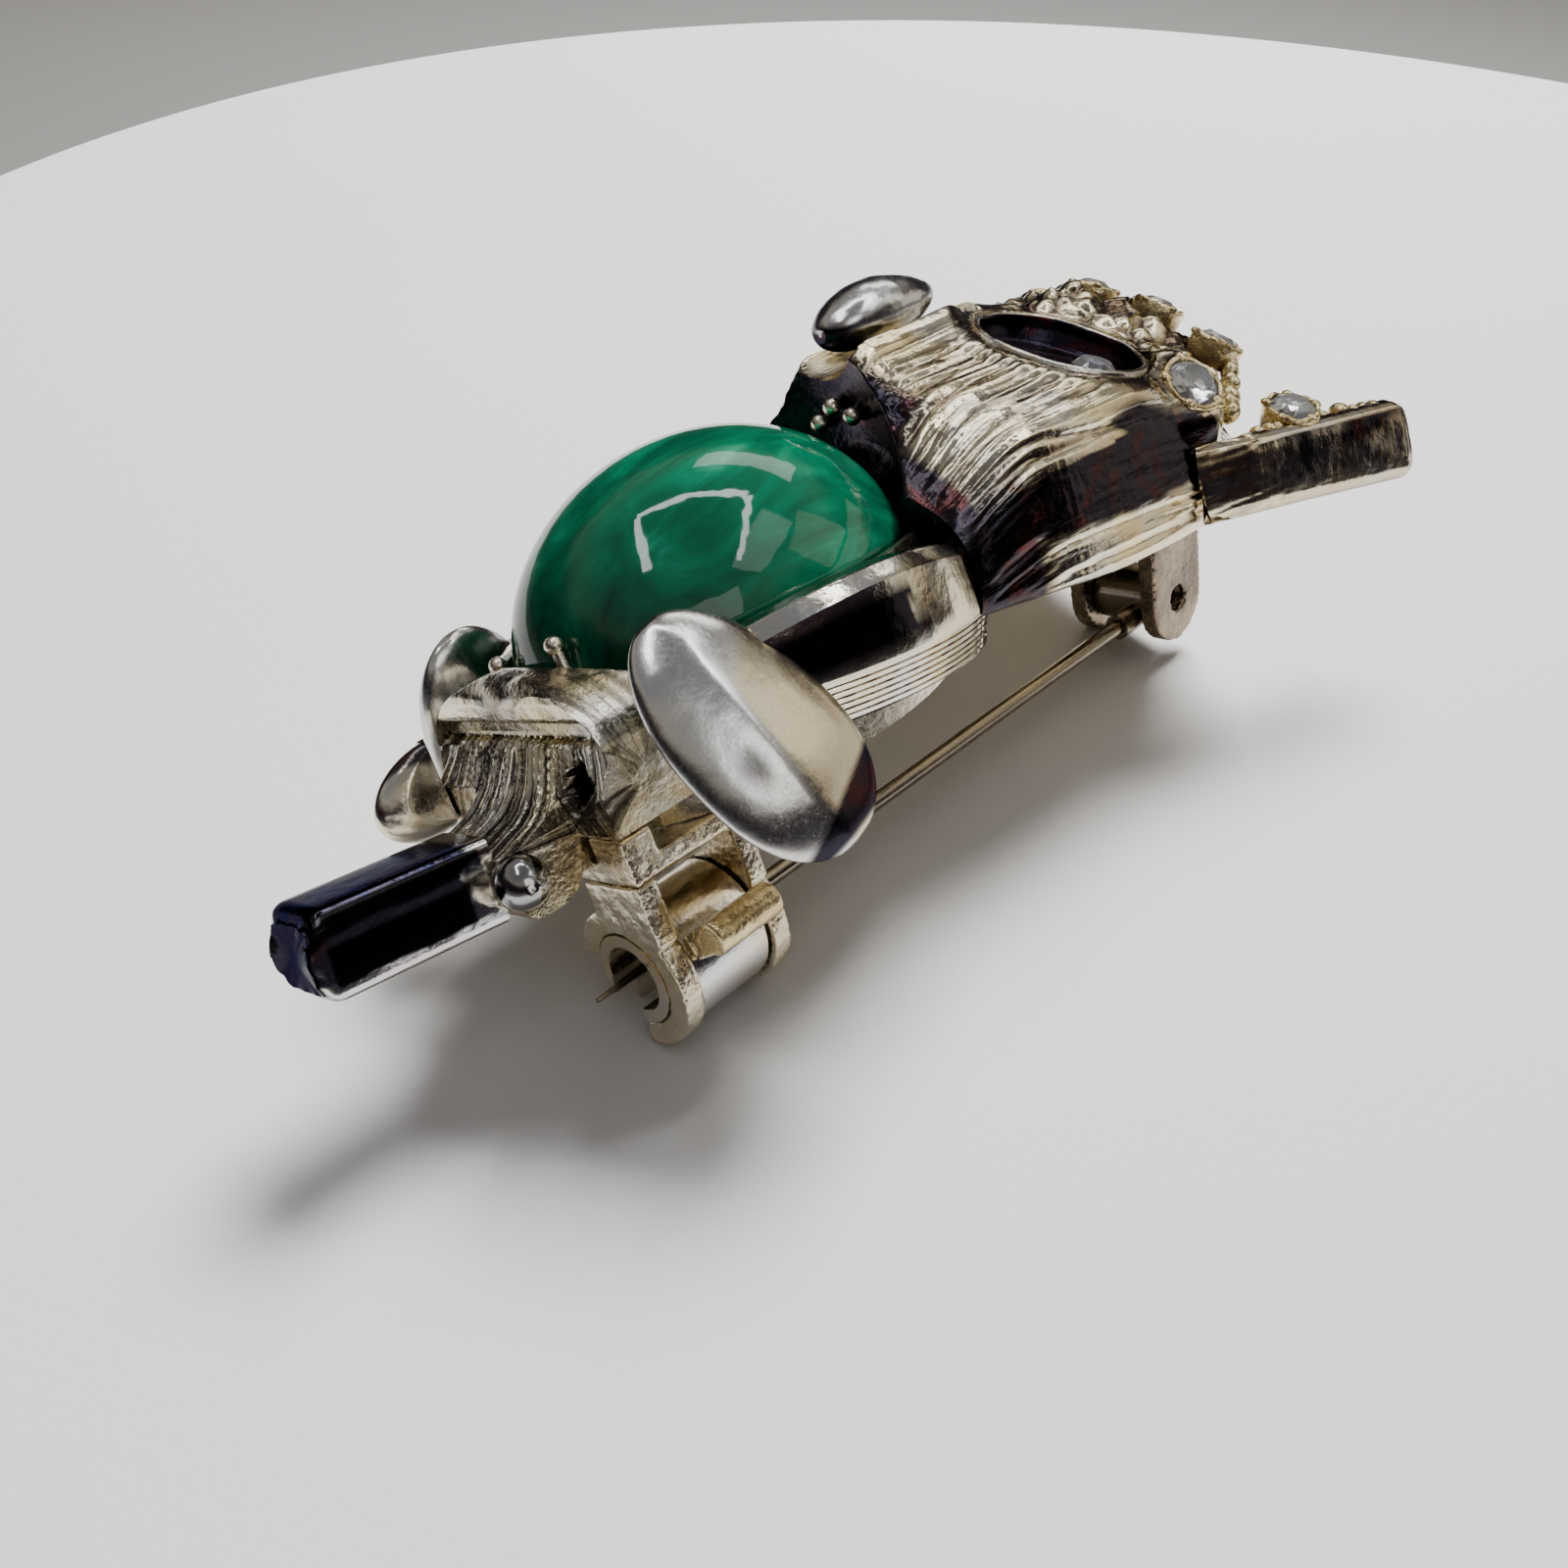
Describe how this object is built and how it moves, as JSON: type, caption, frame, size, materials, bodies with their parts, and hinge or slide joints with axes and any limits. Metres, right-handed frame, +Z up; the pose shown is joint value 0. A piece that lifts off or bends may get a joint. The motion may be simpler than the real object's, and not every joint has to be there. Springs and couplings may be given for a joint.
{
  "type": "brooch",
  "caption": "Owl-shaped brooch with an oval green cabochon, clear round stones, a hinged pin and a turning safety catch.",
  "frame": {"origin": "on the pin stem's centre line, half way along the closed pin from its point to its hinge rivet, with the brooch lying on a table", "axes": "+Y along the closed pin towards the hinge and the owl's ears, +Z up from the table, +X to the side that carries the catch's open side and the raised near wing"},
  "size_m": [0.0225, 0.0498, 0.0181],
  "materials": {
    "silver_plate": "polished",
    "gold_plate": "polished",
    "cast_plate": "brushed",
    "dark_plate": "polished",
    "green_stone": "polished",
    "clear_stone": "polished"
  },
  "bodies": {
    "brooch": {"body_plate": "gold_plate", "stone_cup": "gold_plate", "cabochon": "green_stone", "stone_prongs": "gold_plate", "wing_left": "silver_plate", "wing_right": "silver_plate", "foot_left": "silver_plate", "foot_right": "silver_plate", "tail_root": "cast_plate", "tail_bar": "dark_plate", "tail_bead": "silver_plate", "tail_spur": "silver_plate", "head_shell": "cast_plate", "beak": "silver_plate", "chin_beads": "gold_plate", "eye_dish_left": "dark_plate", "eye_dish_right": "dark_plate", "eye_stone_left": "clear_stone", "eye_stone_right": "clear_stone", "brow_collets": "silver_plate", "brow_stones": "clear_stone", "ear_left": "silver_plate", "ear_right": "silver_plate", "hinge_base": "gold_plate", "hinge_rivet": "silver_plate", "catch_base": "gold_plate", "catch_front_ring": "gold_plate", "catch_back_ring": "gold_plate"},
    "pin": {"pin_eye": "gold_plate", "pin_stem": "gold_plate"},
    "rotor": {"catch_rotor": "silver_plate", "rotor_tab": "gold_plate"}
  },
  "joints": [
    {"name": "pin_hinge", "type": "hinge", "parent": "brooch", "child": "pin", "pos_m": [-0.00089, 0.0172, 0.0003], "axis": [0.9632, 0, 0.2689], "range_deg": [0, 75]},
    {"name": "rotor_turn", "type": "hinge", "parent": "brooch", "child": "rotor", "pos_m": [0.00048, -0.01353, 0.00048], "axis": [0, -1, 0], "range_deg": [0, 30]}
  ]
}
